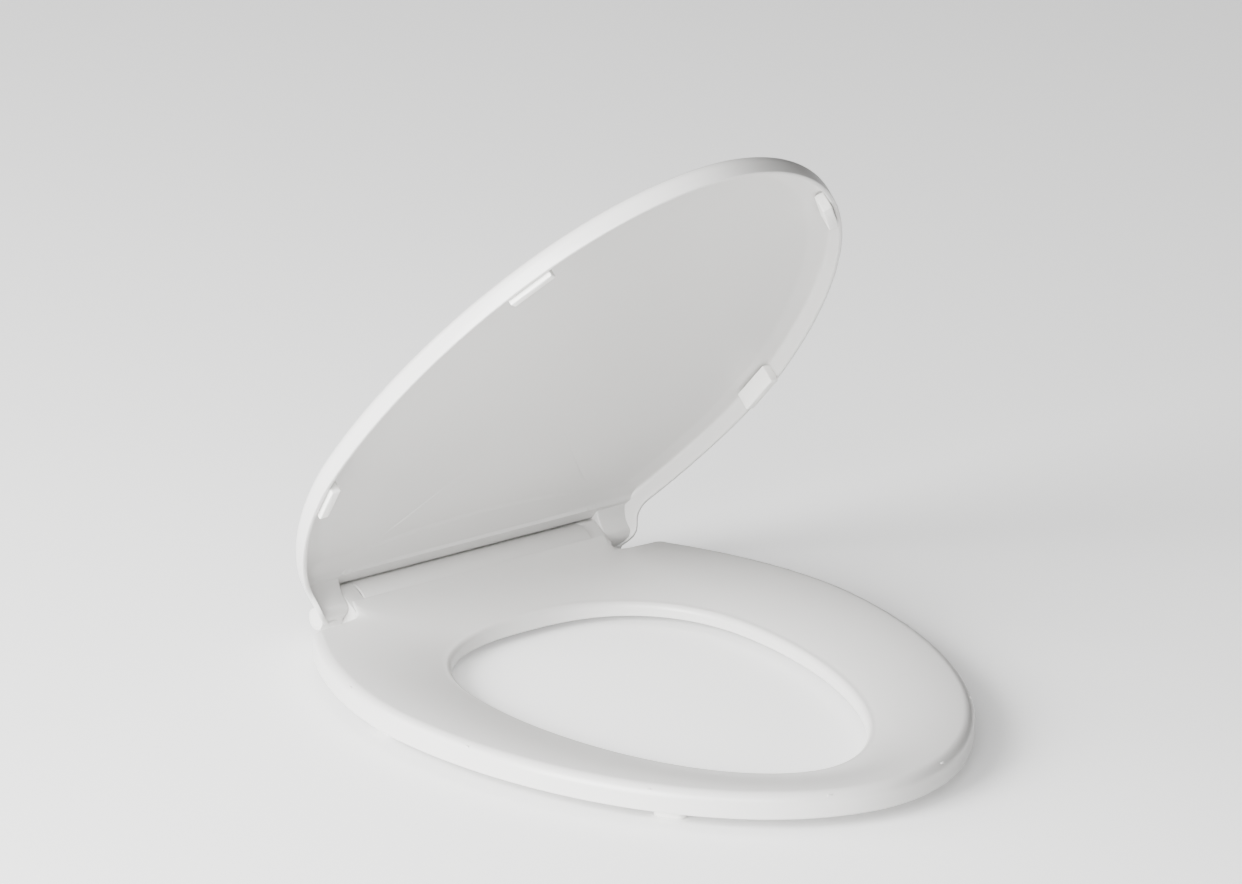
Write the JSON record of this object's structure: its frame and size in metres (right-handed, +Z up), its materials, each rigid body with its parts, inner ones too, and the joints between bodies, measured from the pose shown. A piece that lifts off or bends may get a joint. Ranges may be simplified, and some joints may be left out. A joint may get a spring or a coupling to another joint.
{
  "type": "toilet seat with lid",
  "caption": "Slow-close elongated toilet seat with a shallow dished lid on a one-piece barrel hinge; both turn about one axis and the hinge releases from the bowl's pins.",
  "frame": {"origin": "on the bowl's deck, at the middle of the hinge base's underside, midway between the two sockets that take the bowl's pins", "axes": "+Z up, -Y towards the front of the seat, +X to the right seen from the front of the bowl; the hinge axis runs along X, 21 mm behind and 21 mm above the origin"},
  "size_m": [0.36, 0.4599, 0.3715],
  "materials": {
    "white_gloss": "moulded white polypropylene, smooth satin-gloss",
    "white_rubber": "soft white elastomer, matt",
    "base_plastic": "moulded off-white plastic, satin",
    "damper_plastic": "moulded grey plastic, satin",
    "acetal": "moulded natural acetal, satin",
    "dark_rubber": "black rubber, matt",
    "steel": "turned stainless steel"
  },
  "bodies": {
    "base": {"hinge_base": "base_plastic", "barrel_cover": "white_gloss", "lid_damper_body": "damper_plastic", "lid_damper_cap": "damper_plastic", "lid_damper_seal": "dark_rubber", "seat_damper_body": "damper_plastic", "seat_damper_cap": "damper_plastic", "seat_damper_seal": "dark_rubber", "socket_bush_left": "dark_rubber", "socket_bush_right": "dark_rubber", "grip_pad_left": "dark_rubber", "grip_pad_right": "dark_rubber", "cover_screw_left": "steel", "cover_screw_right": "steel"},
    "seat": {"seat_ring": "white_gloss", "seat_bumper_front_left": "white_rubber", "seat_bumper_front_right": "white_rubber", "seat_bumper_rear_left": "white_rubber", "seat_bumper_rear_right": "white_rubber", "lug_bearing_left": "acetal", "seat_damper_shaft": "steel"},
    "lid": {"lid_shell": "white_gloss", "lid_bumper_front_left": "white_rubber", "lid_bumper_front_right": "white_rubber", "lid_bumper_rear_left": "white_rubber", "lid_bumper_rear_right": "white_rubber", "ear_bearing_right": "acetal", "lid_damper_shaft": "steel", "ear_cap_left": "white_gloss", "ear_cap_right": "white_gloss"},
    "latch_left": {"release_latch_left": "acetal"},
    "latch_right": {"release_latch_right": "acetal"}
  },
  "joints": [
    {"name": "seat_lift", "type": "hinge", "parent": "base", "child": "seat", "pos_m": [0, 0.021, 0.021], "axis": [-1, 0, 0], "range_deg": [0, 92]},
    {"name": "lid_hinge", "type": "hinge", "parent": "seat", "child": "lid", "pos_m": [0, 0.021, 0.021], "axis": [-1, 0, 0], "range_deg": [-50.3, 52.7]},
    {"name": "latch_left_slide", "type": "slide", "parent": "base", "child": "latch_left", "axis": [0, -1, 0], "range_m": [0, 0.004], "stiffness_N_per_m": 300},
    {"name": "latch_right_slide", "type": "slide", "parent": "base", "child": "latch_right", "axis": [0, -1, 0], "range_m": [0, 0.004], "stiffness_N_per_m": 300}
  ]
}
